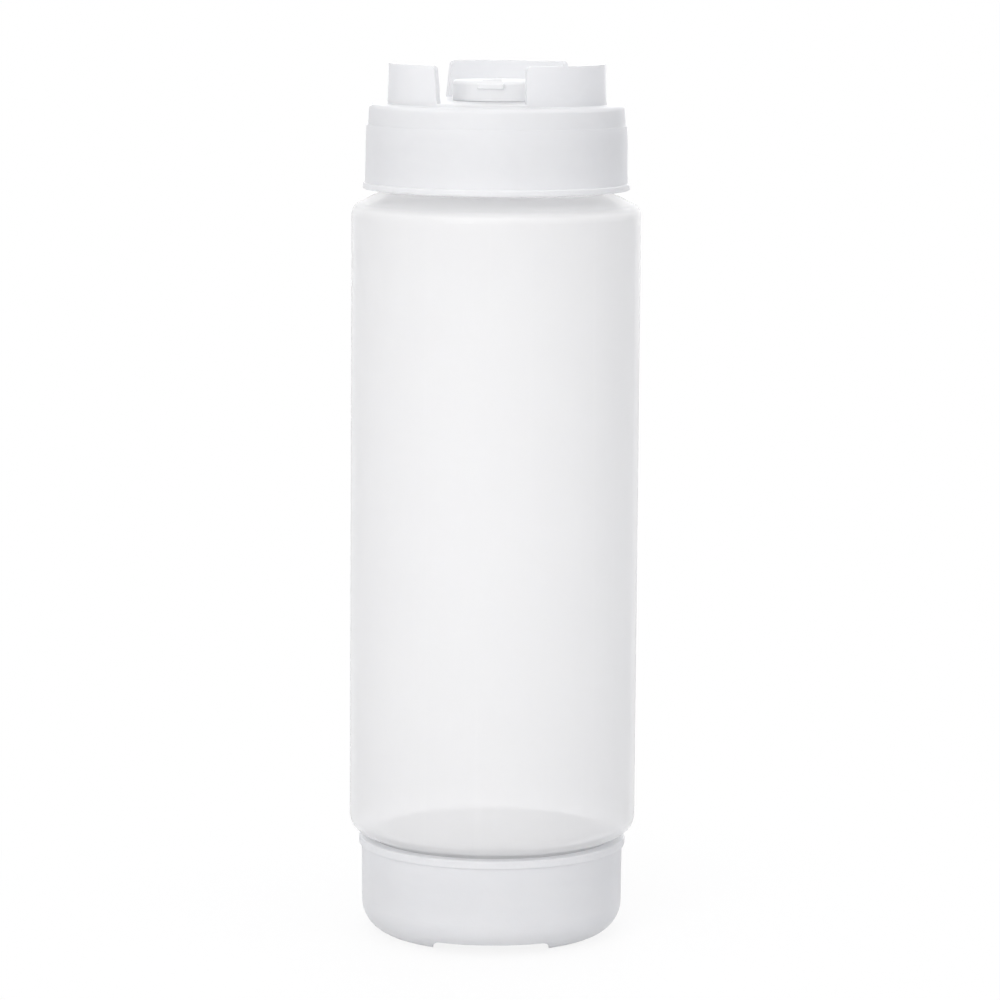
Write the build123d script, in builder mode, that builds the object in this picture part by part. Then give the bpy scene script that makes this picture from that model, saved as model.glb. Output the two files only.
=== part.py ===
from build123d import *
import os
from math import cos, sin, radians

os.makedirs("parts", exist_ok=True)

# Sizes are in millimetres. Z is up, the foot rim rests on Z = 0, and the front of both caps faces -Y.

# Bottle
body_dia = 63.5
body_height = 140.8
body_wall = 1.0
bottom_corner_r = 3.8
top_corner_r = 3.0
low_shoulder_rise = 0.7
high_shoulder_rise = 1.8
high_shoulder_drop = 1.4
shoulder_width = 6.6
neck_length = 17.6
neck_wall = 1.45
neck_root_r = 0.8

# Both screw caps
thread_room = 1.85
seal_thickness = 1.2
seal_gap = 0.3
seal_face_width = 4.1
edge_r = 0.35

# Refill cap
foot_height = 2.4
refill_plate = 1.4
refill_wall = 2.1
refill_draft = 0.15
refill_corner_r = 7.0
refill_lip_reach = 0.6
refill_lip_height = 1.85
refill_lip_gap = 1.0
foot_rim_width = 1.6
notch_count = 3
notch_width = 25.4
notch_heading = 8.5
notch_end_r = 1.4

# Dispensing cap, from its lip up to the deck
lip_gap = 2.4
lip_height = 1.45
lip_reach = 0.45
skirt_wall = 1.85
skirt_draft = 0.2
band_inset = 0.6
band_draft = 0.3
band_height = 4.5
band_corner_r = 1.0
collar_plate = 2.2
land_height = 0.8

# Stand ring
plinth_height = 0.75
ring_inset = 4.3
ring_wall = 1.6
ring_height = 8.1
ring_draft = 0.2
front_gap_half_angle = 24.0
right_gap_start = 104.0
right_gap_end = 147.0
left_gap_start = 217.4
left_gap_end = 270.0
gap_flare = 2.3
wall_corner_r = 1.1
ring_foot_r = 0.3
plinth_edge_r = 0.4

# Outlet, valve seat, valve and retainer
orifice_dia = 11.2
boss_wall = 2.0
boss_height = 1.2
seat_width = 4.0
seat_plate = 1.4
socket_wall = 1.0
socket_depth = 3.8
flange_gap = 0.3
flange_thickness = 1.2
sleeve_gap = 0.3
sleeve_wall = 0.6
head_thickness = 0.8
head_dish = 0.7
slit_length = 6.0
slit_width = 0.12
retainer_step = 0.6
retainer_height = 2.0
retainer_gap = 0.05
bead_depth = 0.3
bead_height = 0.6

# Flip lid and its hinge
boss_room = 0.8
lid_height = 4.5
lid_wall = 1.3
lid_top = 1.4
lid_corner_r = 0.9
lid_foot_gap = 0.1
plug_inset = 1.0
plug_wall = 0.8
plug_gap = 0.05
tab_width = 6.0
tab_reach = 0.7
tab_thickness = 1.2
tab_drop = 0.5
tab_edge_r = 0.3
pin_r = 0.9
pin_gap = 0.06
pin_end_gap = 0.2
barrel_r = 1.6
barrel_width = 5.6
barrel_gap = 0.3
lug_r = 1.9
lug_thickness = 1.5
lug_gap = 0.45
lug_side_gap = 0.2
arm_height = 2.0

# Radii that follow from the sizes
body_r = body_dia / 2
neck_r = body_r - shoulder_width
neck_bore_r = neck_r - neck_wall
cap_bore_r = neck_r + thread_room
seal_r = cap_bore_r - seal_gap
seal_inner_r = cap_bore_r - seal_face_width
refill_r = cap_bore_r + refill_wall
foot_rim_r = refill_r - refill_draft - refill_corner_r - foot_rim_width
skirt_r = cap_bore_r + skirt_wall
band_r = skirt_r - band_inset
ring_r = band_r - ring_inset
orifice_r = orifice_dia / 2
boss_r = orifice_r + boss_wall
socket_r = orifice_r + seat_width
lid_r = boss_r + boss_room + lid_wall
plug_r = boss_r - plug_inset
hinge_y = lid_r + lug_gap + lug_r
lug_x = barrel_width / 2 + lug_side_gap

# Levels that follow from the sizes
refill_floor_z = foot_height + refill_plate
low_neck_z = refill_floor_z + seal_thickness
body_bottom_z = low_neck_z + neck_length
body_top_z = body_bottom_z + body_height
high_neck_z = body_top_z + neck_length
land_z = high_neck_z + seal_thickness
refill_top_z = body_bottom_z - refill_lip_gap
refill_lip_z = refill_top_z - refill_lip_height
lip_z = body_top_z + lip_gap
skirt_z = lip_z + lip_height
collar_z = land_z + collar_plate
step_z = collar_z - band_height
deck_z = collar_z + plinth_height
ring_top_z = deck_z + ring_height
boss_z = deck_z + boss_height
seat_z = deck_z - seat_plate
flange_z = seat_z - flange_thickness
bead_z = flange_z - (retainer_height + bead_height) / 2
hinge_z = deck_z + barrel_gap + barrel_r
lid_top_z = deck_z + lid_height


def heading(angle, radius):
    """The point at an angle from the front, counted towards +X."""
    return (radius * sin(radians(angle)), -radius * cos(radians(angle)))


def sector(start, end, inner, outer):
    """The corners of a wedge of plan view, for a gap between two headings."""
    return [heading(start, inner), heading(start, outer), heading((start + end) / 2, outer),
            heading(end, outer), heading(end, inner)]


# Bottle body: one blow-moulded wall with a neck at each end
with BuildPart() as bottle_body:
    with BuildSketch(Plane.XZ) as outside:
        with BuildLine():
            Polyline(
                (0, low_neck_z), (neck_r, low_neck_z), (neck_r, body_bottom_z - low_shoulder_rise),
                (body_r, body_bottom_z + low_shoulder_rise), (body_r, body_top_z - high_shoulder_drop),
                (neck_r, body_top_z + high_shoulder_rise), (neck_r, high_neck_z), (0, high_neck_z),
                close=True,
            )
        make_face()
        fillet(outside.vertices().group_by(Axis.X)[1].sort_by(Axis.Y)[1:3], neck_root_r)
        fillet(outside.vertices().group_by(Axis.X)[-1].sort_by(Axis.Y)[0], bottom_corner_r)
        fillet(outside.vertices().group_by(Axis.X)[-1].sort_by(Axis.Y)[-1], top_corner_r)
    revolve(axis=Axis.Z)
    with BuildSketch(Plane.XZ) as inside:
        with BuildLine():
            Polyline(
                (0, low_neck_z), (neck_bore_r, low_neck_z),
                (neck_bore_r, body_bottom_z - low_shoulder_rise + body_wall),
                (body_r - body_wall, body_bottom_z + low_shoulder_rise + body_wall),
                (body_r - body_wall, body_top_z - high_shoulder_drop - body_wall),
                (neck_bore_r, body_top_z + high_shoulder_rise - body_wall), (neck_bore_r, high_neck_z),
                (0, high_neck_z), close=True,
            )
        make_face()
        fillet(inside.vertices().group_by(Axis.X)[-1].sort_by(Axis.Y)[0], bottom_corner_r - body_wall)
        fillet(inside.vertices().group_by(Axis.X)[-1].sort_by(Axis.Y)[-1], top_corner_r - body_wall)
    revolve(axis=Axis.Z, mode=Mode.SUBTRACT)

# The notches in the foot rim, as one cutter of straight slots with rounded ends
with BuildPart() as notches:
    slot_start_r, slot_end_r = foot_rim_r * 0.6, body_r
    for number in range(notch_count):
        middle = notch_heading - 90 + number * 360 / notch_count
        with BuildSketch(Plane.XY.rotated((0, 0, middle))):
            with Locations(((slot_start_r + slot_end_r) / 2, 0)):
                Rectangle(slot_end_r - slot_start_r, notch_width)
        extrude(amount=foot_height)
    ceiling = notches.edges().group_by(Axis.Z)[-1]
    fillet(ceiling.filter_by(lambda edge: edge.length < notch_width * 0.99), notch_end_r)

# Refill cap: rounded cup with a flared lip and a notched foot rim
with BuildPart() as refill_cap:
    with BuildSketch(Plane.XZ) as section:
        with BuildLine():
            Polyline(
                (0, foot_height), (foot_rim_r, foot_height), (foot_rim_r, 0), (refill_r - refill_draft, 0),
                (refill_r, refill_lip_z), (refill_r + refill_lip_reach, refill_lip_z),
                (refill_r + refill_lip_reach, refill_top_z), (cap_bore_r, refill_top_z),
                (cap_bore_r, refill_floor_z), (0, refill_floor_z), close=True,
            )
        make_face()
        fillet(section.vertices().group_by(Axis.Y)[0].sort_by(Axis.X)[-1], refill_corner_r)
        fillet(section.vertices().group_by(Axis.X)[-1], edge_r)
    revolve(axis=Axis.Z)
    add(notches.part, mode=Mode.SUBTRACT)

# Liner disc of the refill cap
with BuildPart() as refill_cap_seal:
    with BuildSketch(Plane.XY.offset(refill_floor_z)):
        Circle(seal_r)
    extrude(amount=seal_thickness)

# Dispensing cap: the stand ring and its gaps first, then the collar, the deck and the valve's seat
with BuildPart() as dispensing_cap:
    with BuildSketch(Plane.XZ):
        with BuildLine():
            Polyline(
                (ring_r - ring_wall, collar_z), (ring_r, collar_z), (ring_r, deck_z),
                (ring_r - ring_draft, ring_top_z), (ring_r - ring_wall, ring_top_z), close=True,
            )
        make_face()
    revolve(axis=Axis.Z)
    for start, end in (
        (-front_gap_half_angle, front_gap_half_angle),
        (right_gap_start, right_gap_end),
        (left_gap_start, left_gap_end),
    ):
        for level, flare in ((collar_z, 0), (ring_top_z, gap_flare)):
            with BuildSketch(Plane.XY.offset(level)):
                with BuildLine():
                    Polyline(*sector(start - flare, end, boss_r, body_dia), close=True)
                make_face()
        loft(mode=Mode.SUBTRACT)
    fillet(dispensing_cap.edges().group_by(Axis.Z)[-1].filter_by(GeomType.LINE), wall_corner_r)
    with BuildSketch(Plane.XZ) as section:
        with BuildLine():
            Polyline(
                (cap_bore_r, lip_z), (skirt_r + lip_reach, lip_z), (skirt_r + lip_reach, skirt_z),
                (skirt_r, skirt_z), (skirt_r - skirt_draft, step_z), (band_r, step_z),
                (band_r - band_draft, collar_z), (ring_r, collar_z), (ring_r, deck_z), (boss_r, deck_z),
                (boss_r, boss_z), (orifice_r, boss_z), (orifice_r, seat_z), (socket_r, seat_z),
                (socket_r, bead_z + bead_height), (socket_r + bead_depth, bead_z + bead_height),
                (socket_r + bead_depth, bead_z), (socket_r, bead_z), (socket_r, seat_z - socket_depth),
                (socket_r + bead_depth + socket_wall, seat_z - socket_depth),
                (socket_r + bead_depth + socket_wall, land_z + land_height),
                (seal_inner_r, land_z + land_height), (seal_inner_r, land_z), (cap_bore_r, land_z),
                close=True,
            )
        make_face()
        fillet(section.vertices().group_by(Axis.X)[-1], edge_r)
        collar_points = section.vertices().filter_by_position(Axis.Y, collar_z, collar_z)
        fillet(collar_points.sort_by(Axis.X)[-1], band_corner_r)
        collar_points = section.vertices().filter_by_position(Axis.Y, collar_z, collar_z)
        fillet(collar_points.sort_by(Axis.X)[0], ring_foot_r)
        deck_points = section.vertices().filter_by_position(Axis.Y, deck_z, deck_z)
        fillet(deck_points.sort_by(Axis.X)[-1], plinth_edge_r)
    revolve(axis=Axis.Z)
    for side in (-1, 1):
        with BuildSketch(Plane.YZ.offset(side * lug_x)):
            with Locations((hinge_y, hinge_z)):
                Circle(lug_r)
            with Locations((hinge_y, (deck_z + hinge_z) / 2)):
                Rectangle(2 * lug_r, hinge_z - deck_z)
            with Locations((hinge_y, hinge_z)):
                Circle(pin_r + pin_gap, mode=Mode.SUBTRACT)
        extrude(amount=side * lug_thickness)

# Ring gasket of the dispensing cap
with BuildPart() as dispensing_cap_seal:
    with BuildSketch(Plane.XY.offset(high_neck_z)):
        Circle(seal_r)
        Circle(seal_inner_r + seal_gap, mode=Mode.SUBTRACT)
    extrude(amount=seal_thickness)

# Silicone valve: flange, sleeve and dished head with a cross slit
with BuildPart() as silicone_valve:
    outer, inner = orifice_r - sleeve_gap, orifice_r - sleeve_gap - sleeve_wall
    rim_z, middle_z = boss_z - sleeve_gap, boss_z - sleeve_gap - head_dish
    with BuildSketch(Plane.XZ):
        with BuildLine():
            Polyline((inner, flange_z), (socket_r - flange_gap, flange_z), (socket_r - flange_gap, seat_z),
                     (outer, seat_z), (outer, rim_z))
            TangentArc((0, middle_z), (outer, rim_z), tangent=(-1, 0), tangent_from_first=False)
            Line((0, middle_z), (0, middle_z - head_thickness))
            TangentArc((0, middle_z - head_thickness), (inner, rim_z - head_thickness), tangent=(1, 0))
            Line((inner, rim_z - head_thickness), (inner, flange_z))
        make_face()
    revolve(axis=Axis.Z)
    with BuildSketch(Plane.XY.offset(flange_z)):
        Rectangle(slit_length, slit_width)
        Rectangle(slit_width, slit_length)
    extrude(amount=boss_z - flange_z, mode=Mode.SUBTRACT)

# Snap ring that holds the valve's flange
with BuildPart() as valve_retainer:
    outer = socket_r - retainer_gap
    with BuildSketch(Plane.XZ):
        with BuildLine():
            Polyline(
                (orifice_r + retainer_step, flange_z - retainer_height), (outer, flange_z - retainer_height),
                (outer, bead_z + retainer_gap), (outer + bead_depth, bead_z + retainer_gap),
                (outer + bead_depth, bead_z + bead_height - retainer_gap),
                (outer, bead_z + bead_height - retainer_gap), (outer, flange_z),
                (orifice_r + retainer_step, flange_z), close=True,
            )
        make_face()
    revolve(axis=Axis.Z)

# Thumb tab of the lid, a little below its top
with BuildPart() as thumb_tab:
    tab_depth = tab_reach + lid_wall * 0.8
    with BuildSketch(Plane.XY.offset(lid_top_z - tab_drop - tab_thickness)):
        with Locations((0, tab_depth / 2 - lid_r - tab_reach)):
            RectangleRounded(tab_width, tab_depth, tab_reach / 2)
    extrude(amount=tab_thickness)
    fillet(thumb_tab.edges().group_by(Axis.Z)[0], tab_edge_r)
    fillet(thumb_tab.edges().group_by(Axis.Z)[-1], tab_edge_r)

# Flip lid: cup with a plug ring, then the thumb tab, the hinge arm with its barrel, and the pins
with BuildPart() as flip_lid:
    ceiling_z = lid_top_z - lid_top
    with BuildSketch(Plane.XZ):
        with BuildLine():
            Polyline(
                (0, ceiling_z), (plug_r - plug_wall, ceiling_z), (plug_r - plug_wall, boss_z + plug_gap),
                (plug_r, boss_z + plug_gap), (plug_r, ceiling_z), (lid_r - lid_wall, ceiling_z),
                (lid_r - lid_wall, deck_z + lid_foot_gap), (lid_r, deck_z + lid_foot_gap),
                (lid_r, lid_top_z), (0, lid_top_z), close=True,
            )
        make_face()
    revolve(axis=Axis.Z)
    fillet(flip_lid.edges().group_by(Axis.Z)[-1], lid_corner_r)
    add(thumb_tab.part)
    with BuildSketch(Plane.YZ.offset(-barrel_width / 2)):
        arm_y = lid_r - lid_wall / 2
        with Locations((hinge_y, hinge_z)):
            Circle(barrel_r)
        with Locations(((arm_y + hinge_y) / 2, hinge_z + barrel_r - arm_height / 2)):
            Rectangle(hinge_y - arm_y, arm_height)
    extrude(amount=barrel_width)
    pin_length = 2 * (lug_x + lug_thickness - pin_end_gap)
    with BuildSketch(Plane.YZ.offset(-pin_length / 2)):
        with Locations((hinge_y, hinge_z)):
            Circle(pin_r)
    extrude(amount=pin_length)

pieces = {
    "bottle_body": bottle_body,
    "refill_cap": refill_cap,
    "refill_cap_seal": refill_cap_seal,
    "dispensing_cap": dispensing_cap,
    "dispensing_cap_seal": dispensing_cap_seal,
    "silicone_valve": silicone_valve,
    "valve_retainer": valve_retainer,
    "flip_lid": flip_lid,
}
for name, piece in pieces.items():
    piece.part.label = name
    export_step(piece.part, f"parts/{name}.step")
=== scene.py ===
from math import cos, pi, radians, sin, sqrt, tan

import bmesh
import bpy
from mathutils import Matrix, Quaternion, Vector


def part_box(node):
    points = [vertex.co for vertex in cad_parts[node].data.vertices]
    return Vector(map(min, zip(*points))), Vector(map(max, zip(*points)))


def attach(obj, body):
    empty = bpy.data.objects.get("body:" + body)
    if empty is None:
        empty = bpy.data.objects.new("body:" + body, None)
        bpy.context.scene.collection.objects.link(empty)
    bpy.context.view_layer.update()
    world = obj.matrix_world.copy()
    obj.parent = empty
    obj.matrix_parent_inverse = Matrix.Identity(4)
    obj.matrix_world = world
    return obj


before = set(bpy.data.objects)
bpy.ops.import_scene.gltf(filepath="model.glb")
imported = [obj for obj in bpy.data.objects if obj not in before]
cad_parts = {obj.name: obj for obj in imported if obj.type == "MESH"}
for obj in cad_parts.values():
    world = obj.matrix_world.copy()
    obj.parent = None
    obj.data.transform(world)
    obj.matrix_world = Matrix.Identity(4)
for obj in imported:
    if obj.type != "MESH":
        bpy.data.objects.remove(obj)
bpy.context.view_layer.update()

MM = 0.001
scene = bpy.context.scene

# ---------------------------------------------------------------- sizes, in millimetres
# The levels and the widest radii come from the frame. The rest repeat the CAD source's named walls.
body_lo, body_hi = (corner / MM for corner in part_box("bottle_body"))
upper_lo, upper_hi = (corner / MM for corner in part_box("dispensing_cap"))
lower_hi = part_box("refill_cap")[1] / MM
lid_lo, lid_hi = (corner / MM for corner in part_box("flip_lid"))

shoulder_width = 6.6
thread_room = 1.85
neck_length = 17.6
low_shoulder_rise = 0.7
high_shoulder_rise, high_shoulder_drop = 1.8, 1.4
bottom_corner_r, top_corner_r = 3.8, 3.0
foot_height = 2.4
ring_height = 8.1
plinth_height = 0.75
pitch = 4.2
view_heading = 8.5

body_r = body_hi.x
neck_r = body_r - shoulder_width
cap_bore_r = neck_r + thread_room
body_bottom_z = body_lo.z + neck_length
body_top_z = body_hi.z - neck_length
low_neck_foot, low_wall_foot = body_bottom_z - low_shoulder_rise, body_bottom_z + low_shoulder_rise
high_neck_foot, high_wall_foot = body_top_z + high_shoulder_rise, body_top_z - high_shoulder_drop
collar_z = upper_hi.z - ring_height - plinth_height
lid_top_z = lid_hi.z


# ---------------------------------------------------------------- camera, light and stage
def look_at(thing, place, target, roll=0.0):
    thing.location = place
    thing.rotation_mode = "QUATERNION"
    aim = (Vector(target) - Vector(place)).to_track_quat("-Z", "Y")
    thing.rotation_quaternion = aim @ Quaternion((0, 0, 1), radians(roll))


camera_data = bpy.data.cameras.new("camera")
camera = bpy.data.objects.new("camera", camera_data)
scene.collection.objects.link(camera)
scene.camera = camera
camera_data.sensor_width = 36
camera_data.lens = 154.3
camera_data.clip_start, camera_data.clip_end = 0.01, 50
azimuth, elevation, distance = radians(view_heading), radians(7.6), 0.95
back = Vector((sin(azimuth) * cos(elevation), -cos(azimuth) * cos(elevation), sin(elevation)))
side = Vector((cos(azimuth), sin(azimuth), 0))
target = Vector((0, 0, 96.9 * MM)) + side * 1.28 * MM
look_at(camera, target + back * distance, target, roll=0.42)

scene.view_settings.view_transform = "Standard"
# Light passes through many milky walls before it is lost.
scene.cycles.max_bounces = 24
scene.cycles.diffuse_bounces = 16


def lamp(name, place, size, power, colour=(1, 1, 1), target=(0, 0, 0.1)):
    data = bpy.data.lights.new(name, "AREA")
    data.shape = "SQUARE"
    data.size = size
    data.energy = power
    data.color = colour
    thing = bpy.data.objects.new(name, data)
    scene.collection.objects.link(thing)
    look_at(thing, place, target)


lamp("key", (-0.12, -0.75, 0.5), 0.5, 2.55, (1.0, 0.985, 0.955))
lamp("top", (0.12, -0.1, 1.6), 0.9, 5.5)
lamp("back", (-0.1, 1.5, 0.35), 1.0, 7.0)


def seen_rays(tree):
    """1 for camera, glossy and transmission rays, which see the white background itself."""
    path = tree.nodes.new("ShaderNodeLightPath")
    first = tree.nodes.new("ShaderNodeMath")
    first.operation = "MAXIMUM"
    tree.links.new(path.outputs["Is Camera Ray"], first.inputs[0])
    tree.links.new(path.outputs["Is Glossy Ray"], first.inputs[1])
    second = tree.nodes.new("ShaderNodeMath")
    second.operation = "MAXIMUM"
    tree.links.new(first.outputs[0], second.inputs[0])
    tree.links.new(path.outputs["Is Transmission Ray"], second.inputs[1])
    return second.outputs[0]


world = bpy.data.worlds.new("studio")
scene.world = world
world.use_nodes = True
tree = world.node_tree
tree.nodes.clear()
soft = tree.nodes.new("ShaderNodeBackground")
soft.inputs["Color"].default_value = (0.968, 0.972, 1.0, 1)
soft.inputs["Strength"].default_value = 0.61
white = tree.nodes.new("ShaderNodeBackground")
white.inputs["Color"].default_value = (1, 1, 1, 1)
white.inputs["Strength"].default_value = 1.0
mix = tree.nodes.new("ShaderNodeMixShader")
tree.links.new(seen_rays(tree), mix.inputs[0])
tree.links.new(soft.outputs[0], mix.inputs[1])
tree.links.new(white.outputs[0], mix.inputs[2])
out = tree.nodes.new("ShaderNodeOutputWorld")
tree.links.new(mix.outputs[0], out.inputs["Surface"])


# ---------------------------------------------------------------- material nodes
class Shader:
    """A material's node tree, with short calls for the nodes used here."""

    def __init__(self, name):
        self.material = bpy.data.materials.new(name)
        self.material.use_nodes = True
        self.tree = self.material.node_tree
        self.tree.nodes.clear()
        self.shader = self.node("ShaderNodeBsdfPrincipled")
        output = self.node("ShaderNodeOutputMaterial")
        self.tree.links.new(self.shader.outputs[0], output.inputs["Surface"])
        self.place = self.node("ShaderNodeTexCoord").outputs["Object"]

    def node(self, kind, **values):
        made = self.tree.nodes.new(kind)
        for key, value in values.items():
            setattr(made, key, value)
        return made

    def feed(self, socket, value):
        if isinstance(value, bpy.types.NodeSocket):
            self.tree.links.new(value, socket)
        else:
            socket.default_value = value

    def set(self, **values):
        """Constants and links of the Principled shader, written as Base_Color=..."""
        for key, value in values.items():
            self.feed(self.shader.inputs[key.replace("_", " ")], value)

    def scaled(self, x, y, z):
        """Coordinates in millimetres, multiplied by x, y and z."""
        made = self.node("ShaderNodeMapping")
        self.feed(made.inputs["Vector"], self.place)
        made.inputs["Scale"].default_value = (x / MM, y / MM, z / MM)
        return made.outputs[0]

    def noise(self, x, y=None, z=None, detail=3.0, rough=0.55, distortion=0.0):
        made = self.node("ShaderNodeTexNoise")
        self.feed(made.inputs["Vector"], self.scaled(x, x if y is None else y, x if z is None else z))
        made.inputs["Scale"].default_value = 1.0
        made.inputs["Detail"].default_value = detail
        made.inputs["Roughness"].default_value = rough
        made.inputs["Distortion"].default_value = distortion
        return made.outputs["Fac"]

    def cells(self, per_mm):
        made = self.node("ShaderNodeTexVoronoi")
        self.feed(made.inputs["Vector"], self.scaled(per_mm, per_mm, per_mm))
        made.inputs["Scale"].default_value = 1.0
        return made.outputs["Distance"]

    def math(self, operation, a, b=0.0):
        made = self.node("ShaderNodeMath", operation=operation)
        self.feed(made.inputs[0], a)
        self.feed(made.inputs[1], b)
        return made.outputs[0]

    def range(self, value, start, end, low=0.0, high=1.0):
        made = self.node("ShaderNodeMapRange", interpolation_type="SMOOTHSTEP")
        self.feed(made.inputs["Value"], value)
        made.inputs["From Min"].default_value = start
        made.inputs["From Max"].default_value = end
        made.inputs["To Min"].default_value = low
        made.inputs["To Max"].default_value = high
        return made.outputs["Result"]

    def mix(self, factor, a, b):
        made = self.node("ShaderNodeMix", data_type="RGBA")
        self.feed(made.inputs[0], factor)
        self.feed(made.inputs[6], a if isinstance(a, bpy.types.NodeSocket) else (*a, 1))
        self.feed(made.inputs[7], b if isinstance(b, bpy.types.NodeSocket) else (*b, 1))
        return made.outputs[2]

    def bump(self, height, depth, normal=None):
        """depth is the height of the relief in millimetres."""
        made = self.node("ShaderNodeBump")
        self.feed(made.inputs["Height"], height)
        made.inputs["Distance"].default_value = depth * MM
        made.inputs["Strength"].default_value = 1.0
        if normal is not None:
            self.feed(made.inputs["Normal"], normal)
        return made.outputs["Normal"]

    def level(self):
        """Height above the floor in millimetres."""
        made = self.node("ShaderNodeSeparateXYZ")
        self.feed(made.inputs[0], self.scaled(1, 1, 1))
        return made.outputs[2]

    def radius(self):
        """Distance from the bottle's axis in millimetres."""
        flat = self.node("ShaderNodeVectorMath", operation="LENGTH")
        self.feed(flat.inputs[0], self.scaled(1, 1, 0))
        return flat.outputs["Value"]


def milky_plastic():
    """Blow-moulded polyethylene: die lines along the axis, an uneven wall, a satin skin and scuffed shoulders.
    The upper shoulder and neck let more light through than the wall."""
    s = Shader("milky_polyethylene")
    die_lines = s.noise(0.55, 0.55, 0.006, detail=4.0, rough=0.6)
    cloud = s.noise(0.035, detail=2.0)
    grain = s.noise(2.6, detail=2.0, rough=0.5)
    waves = s.noise(0.05, 0.05, 0.03, detail=1.0)
    colour = s.mix(s.range(cloud, 0.3, 0.7), (0.968, 0.968, 0.972), (0.975, 0.975, 0.978))
    colour = s.mix(s.range(die_lines, 0.52, 0.72, 0.0, 0.5), colour, (0.992, 0.992, 0.992))
    level = s.level()
    rub = s.math("MAXIMUM", s.range(level, body_top_z - 5, body_top_z - 1.5),
                 s.range(level, body_bottom_z + 9, body_bottom_z + 3))
    scratch = s.range(s.noise(0.5, 0.5, 0.09, detail=5.0, rough=0.75, distortion=0.6), 0.6, 0.68)
    scuff = s.math("MULTIPLY", rub, scratch)
    colour = s.mix(s.math("MULTIPLY", scuff, 0.35), colour, (0.995, 0.995, 0.995))
    rough = s.range(s.noise(0.3, 0.3, 0.05, detail=4.0), 0.3, 0.7, 0.34, 0.44)
    rough = s.math("ADD", rough, s.math("MULTIPLY", scuff, 0.16))
    opacity = s.range(level, body_top_z - 2.2, body_top_z - 0.6, 0.5, 0.25)
    normal = s.bump(waves, 0.12)
    normal = s.bump(die_lines, 0.012, normal=normal)
    normal = s.bump(grain, 0.006, normal=normal)
    s.set(Base_Color=colour, Roughness=rough, Normal=normal, IOR=1.5, Alpha=opacity,
          Subsurface_Weight=0.15, Subsurface_Scale=2.0 * MM, Subsurface_Radius=(1.0, 0.97, 0.93))
    return s.material


def satin_plastic(name, light, dark, edges=()):
    """Injection-moulded polypropylene: fine spark-eroded skin, faint flow marks, rubbed rims.
    edges are (low, high) levels of the rims that get rubbed."""
    s = Shader(name)
    flow = s.noise(0.09, 0.09, 0.16, detail=3.0, distortion=0.8)
    skin = s.noise(4.5, detail=2.0, rough=0.5)
    pits = s.cells(2.2)
    colour = s.mix(s.range(flow, 0.32, 0.68), dark, light)
    rough = s.range(s.noise(0.4, detail=4.0), 0.3, 0.7, 0.38, 0.48)
    if edges:
        level = s.level()
        rub = None
        for low, high in edges:
            middle, half = (low + high) / 2, (high - low) / 2
            band = s.range(s.math("ABSOLUTE", s.math("SUBTRACT", level, middle)), half + 0.25, half - 0.1)
            rub = band if rub is None else s.math("MAXIMUM", rub, band)
        worn = s.math("MULTIPLY", rub, s.range(s.noise(0.8, detail=5.0, rough=0.7), 0.5, 0.66))
        colour = s.mix(s.math("MULTIPLY", worn, 0.4), colour, tuple(min(1, c + 0.05) for c in light))
        rough = s.math("ADD", rough, s.math("MULTIPLY", worn, 0.12))
    normal = s.bump(flow, 0.03)
    normal = s.bump(pits, 0.008, normal=normal)
    normal = s.bump(skin, 0.006, normal=normal)
    s.set(Base_Color=colour, Roughness=rough, Normal=normal, IOR=1.49, Alpha=0.8,
          Subsurface_Weight=0.45, Subsurface_Scale=1.6 * MM, Subsurface_Radius=(1.0, 0.97, 0.95))
    return s.material


def silicone():
    s = Shader("clear_silicone")
    cloud = s.noise(0.4, detail=2.0)
    dust = s.range(s.cells(1.6), 0.12, 0.05)
    colour = s.mix(s.range(cloud, 0.3, 0.7), (0.86, 0.865, 0.86), (0.9, 0.9, 0.885))
    colour = s.mix(s.math("MULTIPLY", dust, 0.5), colour, (0.95, 0.95, 0.95))
    normal = s.bump(s.noise(3.0, detail=2.0), 0.01)
    s.set(Base_Color=colour, Roughness=s.range(cloud, 0.3, 0.7, 0.28, 0.36), Normal=normal, IOR=1.43,
          Transmission_Weight=0.3, Subsurface_Weight=0.5, Subsurface_Scale=1.5 * MM,
          Subsurface_Radius=(1.0, 0.98, 0.95))
    return s.material


def foam():
    s = Shader("sealing_foam")
    cells = s.cells(3.0)
    colour = s.mix(s.range(cells, 0.1, 0.6), (0.8, 0.8, 0.79), (0.88, 0.88, 0.87))
    normal = s.bump(cells, 0.03)
    s.set(Base_Color=colour, Roughness=s.range(s.noise(0.6), 0.3, 0.7, 0.6, 0.72), Normal=normal, IOR=1.45,
          Subsurface_Weight=0.2, Subsurface_Scale=0.8 * MM)
    return s.material


milky = milky_plastic()
cap_light, cap_dark = (0.905, 0.91, 0.924), (0.89, 0.895, 0.91)
upper_plastic = satin_plastic("satin_cap_upper", cap_light, cap_dark,
                              edges=((upper_lo.z, upper_lo.z + 1.0), (upper_hi.z - 0.5, upper_hi.z)))
lower_plastic = satin_plastic("satin_cap_lower", cap_light, cap_dark,
                              edges=((0.0, 1.0), (lower_hi.z - 1.5, lower_hi.z)))
lid_plastic = satin_plastic("satin_lid", (0.955, 0.96, 0.968), (0.945, 0.95, 0.958),
                            edges=((lid_top_z - 0.6, lid_top_z),))
inner_plastic = satin_plastic("satin_retainer", (0.86, 0.86, 0.865), (0.84, 0.84, 0.85))
rubber = silicone()
liner = foam()

for name, material in {
    "bottle_body": milky,
    "dispensing_cap": upper_plastic,
    "refill_cap": lower_plastic,
    "flip_lid": lid_plastic,
    "valve_retainer": inner_plastic,
    "silicone_valve": rubber,
    "dispensing_cap_seal": liner,
    "refill_cap_seal": liner,
}.items():
    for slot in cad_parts[name].material_slots:
        slot.material = material


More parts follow.
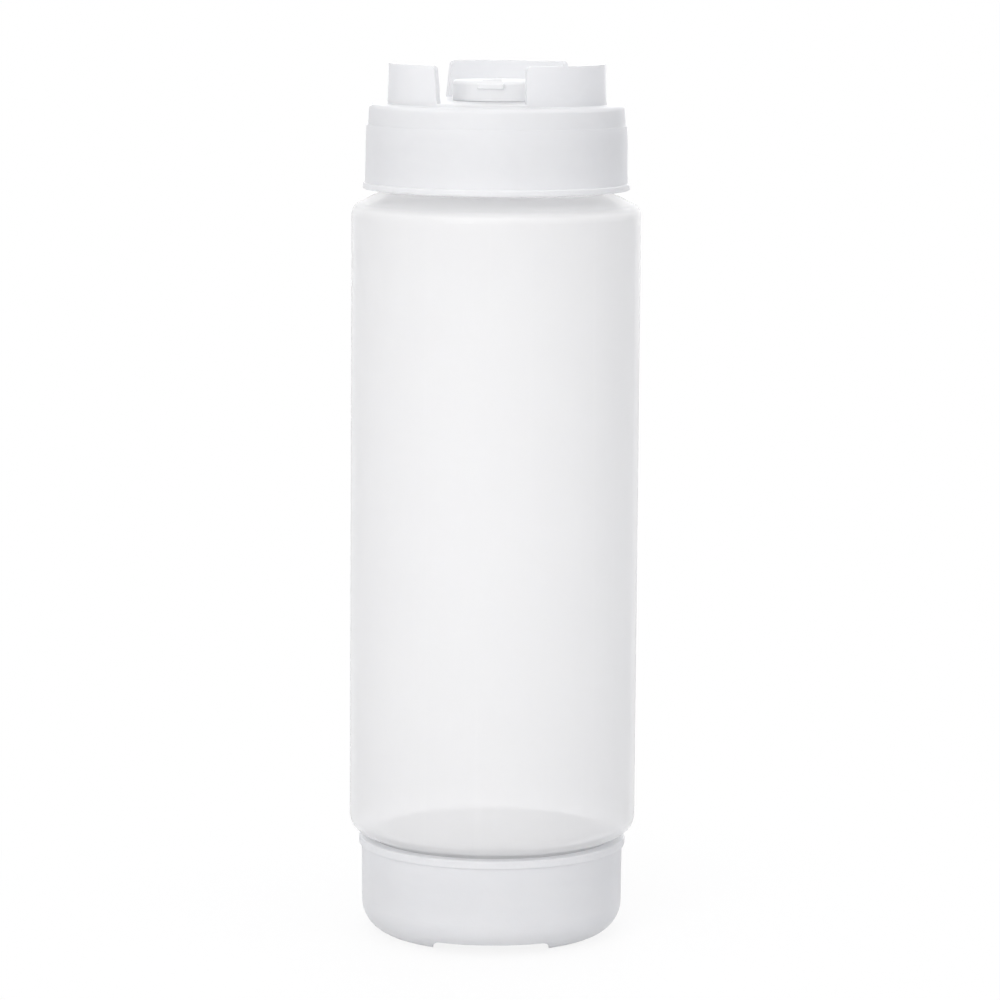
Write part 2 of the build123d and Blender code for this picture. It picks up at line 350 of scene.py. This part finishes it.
# ---------------------------------------------------------------- mesh helpers, in millimetres
def piece(name, mesh_builder, body, material):
    """Turns a bmesh in millimetres into a piece that rides on a body."""
    bmesh.ops.recalc_face_normals(mesh_builder, faces=mesh_builder.faces)
    mesh = bpy.data.meshes.new(name)
    mesh_builder.transform(Matrix.Scale(MM, 4))
    mesh_builder.to_mesh(mesh)
    mesh_builder.free()
    for face in mesh.polygons:
        face.use_smooth = True
    thing = bpy.data.objects.new(name, mesh)
    scene.collection.objects.link(thing)
    mesh.materials.append(material)
    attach(thing, body)
    return thing


def skin(rings, closed_path=False):
    """A bmesh over equal rings of points. Open paths get end faces."""
    made = bmesh.new()
    loops = [[made.verts.new(point) for point in ring] for ring in rings]
    pairs = list(zip(loops, loops[1:]))
    if closed_path:
        pairs.append((loops[-1], loops[0]))
    for first, second in pairs:
        for i in range(len(first)):
            j = (i + 1) % len(first)
            made.faces.new((first[i], first[j], second[j], second[i]))
    if not closed_path:
        made.faces.new(loops[0])
        made.faces.new(reversed(loops[-1]))
    return made


def heading(angle, radius, z):
    """A point at an angle from the front, counted towards +X."""
    return Vector((radius * sin(radians(angle)), -radius * cos(radians(angle)), z))


def smooth(t):
    t = min(max(t, 0.0), 1.0)
    return t * t * (3 - 2 * t)


def thread(name, body, material, root, crest, start_z, turns, first_angle):
    step, run_out = 5.0, 40
    least_rise, shoulder_rise = 0.04, 0.86
    half_foot, half_shoulder, half_crest = 1.0, 0.55, 0.32
    count = int(turns * 360 / step)
    sink = -0.08 if crest > root else 0.08
    rings = []
    for i in range(count + 1):
        angle = first_angle + i * step
        middle = start_z + pitch * (i * step) / 360
        grow = smooth(min(i, count - i) * step / run_out)
        top = root + (crest - root) * max(grow, least_rise)
        shoulder = root + (crest - root) * max(grow, least_rise) * shoulder_rise
        rings.append([heading(angle, radius, middle + offset) for radius, offset in (
            (root + sink, -half_foot), (shoulder, -half_shoulder), (top, -half_crest),
            (top, half_crest), (shoulder, half_shoulder), (root + sink, half_foot))])
    return piece(name, skin(rings), body, material)


thread_gap = 1.3
neck_crest_r, cap_crest_r = neck_r + 1.15, cap_bore_r - 1.4
neck_turns, cap_turns, thread_heading = 2.0, 1.9, -150
upper_start, lower_start = body_top_z + 6.9, body_lo.z + 2.9
for name, body, material, slot, root, crest, start_z, turns in (
    ("neck_thread_upper", "bottle", milky, "bottle", neck_r, neck_crest_r, upper_start, neck_turns),
    ("neck_thread_lower", "bottle", milky, "bottle", neck_r, neck_crest_r, lower_start, neck_turns),
    ("cap_thread_upper", "upper_cap", upper_plastic, "cap", cap_bore_r, cap_crest_r,
     upper_start - thread_gap, cap_turns),
    ("cap_thread_lower", "lower_cap", lower_plastic, "cap", cap_bore_r, cap_crest_r,
     lower_start + thread_gap, cap_turns),
):
    thread(name, body, material, root, crest, start_z, turns, thread_heading)


def rounded(start, corner, end, radius, steps=12):
    """The arc that rounds a corner between two straight lines of (radius, level) points."""
    corner = Vector(corner)
    first, second = (Vector(start) - corner).normalized(), (Vector(end) - corner).normalized()
    half = first.angle(second) / 2
    centre = corner + (first + second).normalized() * radius / sin(half)
    low = corner + first * radius / tan(half) - centre
    high = corner + second * radius / tan(half) - centre
    sweep = low.angle(high)
    return [centre + (low * sin((1 - i / steps) * sweep) + high * sin(i / steps * sweep)) / sin(sweep)
            for i in range(steps + 1)]


def body_outline():
    """(radius, level, outward normal) along the outside of the bottle, from one neck to the other."""
    low, high = (body_r, low_wall_foot), (body_r, high_wall_foot)
    bottom = rounded((neck_r, low_neck_foot), low, high, bottom_corner_r)
    top = rounded(low, high, (neck_r, high_neck_foot), top_corner_r)
    wall = [bottom[-1].lerp(top[0], i / 12) for i in range(1, 12)]
    points = [Vector((neck_r, low_neck_foot)).lerp(bottom[0], 0.3)] + bottom + wall + top
    points.append(Vector((neck_r, high_neck_foot)).lerp(top[-1], 0.3))
    path = []
    for i, point in enumerate(points):
        along = points[min(i + 1, len(points) - 1)] - points[max(i - 1, 0)]
        along.normalize()
        path.append((point.x, point.y, (along.y, -along.x)))
    return path


def parting_line(name, angle):
    """The fine ridge that the two halves of the blow mould leave down the side of the bottle."""
    section = ((-0.24, -0.04), (-0.12, 0.045), (0, 0.075), (0.12, 0.045), (0.24, -0.04), (0, -0.1))
    across = heading(angle + 90, 1, 0)
    rings = []
    for radius, z, (out_r, out_z) in body_outline():
        centre = heading(angle, radius, z)
        outward = heading(angle, out_r, out_z)
        rings.append([centre + across * offset + outward * height for offset, height in section])
    return piece(name, skin(rings), "bottle", milky)


parting_line("parting_line_right", view_heading + 90)
parting_line("parting_line_left", view_heading - 90)


def turned(name, profile, centre, direction, body, material, segments=48):
    """A small turned detail: profile is (radius, height) pairs round a closed loop, height along direction."""
    up = Vector(direction).normalized()
    first = up.orthogonal().normalized()
    second = up.cross(first)
    rings = []
    for i in range(segments):
        angle = 2 * pi * i / segments
        out = first * cos(angle) + second * sin(angle)
        rings.append([Vector(centre) + out * radius + up * height for radius, height in profile])
    return piece(name, skin(rings, closed_path=True), body, material)


def gate_mark(name, centre, direction, body, material, size=1.0):
    """The sprue's witness: a shallow well's rim and the broken-off stub in its middle."""
    turned(name + "_rim", [(1.25 * size, -0.1), (1.3 * size, 0.05), (1.45 * size, 0.1), (1.6 * size, 0.05),
                           (1.65 * size, -0.1)], centre, direction, body, material)
    stub = bmesh.new()
    rows = []
    up = Vector(direction).normalized()
    first = up.orthogonal().normalized()
    second = up.cross(first)
    sides, roughness = 20, 0.07
    for radius, height in ((0.55, -0.1), (0.5, 0.06), (0.4, 0.16), (0.2, 0.2)):
        row = []
        for i in range(sides):
            angle = 2 * pi * i / sides
            out = first * cos(angle) + second * sin(angle)
            torn = radius * size * (1 + roughness * sin(3 * i + radius * 9))
            row.append(stub.verts.new(Vector(centre) + out * torn + up * height * size))
        rows.append(row)
    for low, high in zip(rows, rows[1:]):
        for i in range(sides):
            j = (i + 1) % sides
            stub.faces.new((low[i], low[j], high[j], high[i]))
    stub.faces.new(reversed(rows[0]))
    stub.faces.new(rows[-1])
    piece(name + "_stub", stub, body, material)


gate_mark("gate_refill_cap", (0, 0, foot_height), (0, 0, -1), "lower_cap", lower_plastic, 1.3)
gate_mark("gate_lid", (0, 0, lid_top_z), (0, 0, 1), "lid", lid_plastic, 0.8)
gate_mark("gate_dispensing_cap", heading(180 + view_heading, 25.9, collar_z), (0, 0, 1), "upper_cap",
          upper_plastic, 0.6)
turned("base_ring", [(12.6, -0.1), (12.75, 0.25), (13.0, 0.34), (13.25, 0.25), (13.4, -0.1)],
       (0, 0, foot_height), (0, 0, -1), "lower_cap", lower_plastic, segments=128)


def bar(name, start, end, width, height, body, material):
    """A low rounded rib that lies on a level surface between two points."""
    section = ((-1, 0), (-0.8, 0.55), (-0.35, 0.95), (0.35, 0.95), (0.8, 0.55), (1, 0))
    steps, sink, end_width = 16, 0.08, 0.15
    start, end = Vector(start), Vector(end)
    along = (end - start).normalized()
    across = along.cross(Vector((0, 0, 1)))
    length = (end - start).length
    rings = []
    for i in range(steps + 1):
        t = i / steps
        fade = sqrt(max(0.0, 1 - abs(2 * t - 1) ** 8))
        centre = start + along * length * t
        half = across * width / 2 * max(fade, end_width)
        rings.append([centre + half * x + Vector((0, 0, height * y * fade - sink * (y == 0)))
                      for x, y in section])
    return piece(name, skin(rings), body, material)


first_rib_y, rib_spacing, rib_half_length = lid_lo.y + 2.1, 0.8, 2.2
for number in range(3):
    y = first_rib_y + rib_spacing * number
    bar(f"thumb_rib_{number + 1}", (-rib_half_length, y, lid_top_z), (rib_half_length, y, lid_top_z),
        0.42, 0.2, "lid", lid_plastic)


# ---------------------------------------------------------------- floor
floor_mesh = bpy.data.meshes.new("floor")
reach = 6.0
floor_mesh.from_pydata([(-reach, -reach, 0), (reach, -reach, 0), (reach, reach, 0), (-reach, reach, 0)], [],
                       [(0, 1, 2, 3)])
floor = bpy.data.objects.new("floor", floor_mesh)
scene.collection.objects.link(floor)
floor.location.z = -0.02 * MM  # a hair under the foot, so that the two faces don't flicker
paper = Shader("floor_paper")
paper.set(Roughness=0.85, Specular_IOR_Level=0.2)
glow = paper.node("ShaderNodeEmission")
glow.inputs["Color"].default_value = (1, 1, 1, 1)
glow.inputs["Strength"].default_value = 1.0
seen = seen_rays(paper.tree)
paper.set(Base_Color=paper.mix(seen, (0.88, 0.88, 0.89), (0.97, 0.97, 0.975)))
blend = paper.node("ShaderNodeMixShader")
paper.feed(blend.inputs[0], paper.math("MULTIPLY", seen, paper.range(paper.radius(), 36, 140, 0.86, 1.0)))
paper.tree.links.new(paper.shader.outputs[0], blend.inputs[1])
paper.tree.links.new(glow.outputs[0], blend.inputs[2])
for node in paper.tree.nodes:
    if node.type == "OUTPUT_MATERIAL":
        paper.tree.links.new(blend.outputs[0], node.inputs["Surface"])
floor_mesh.materials.append(paper.material)
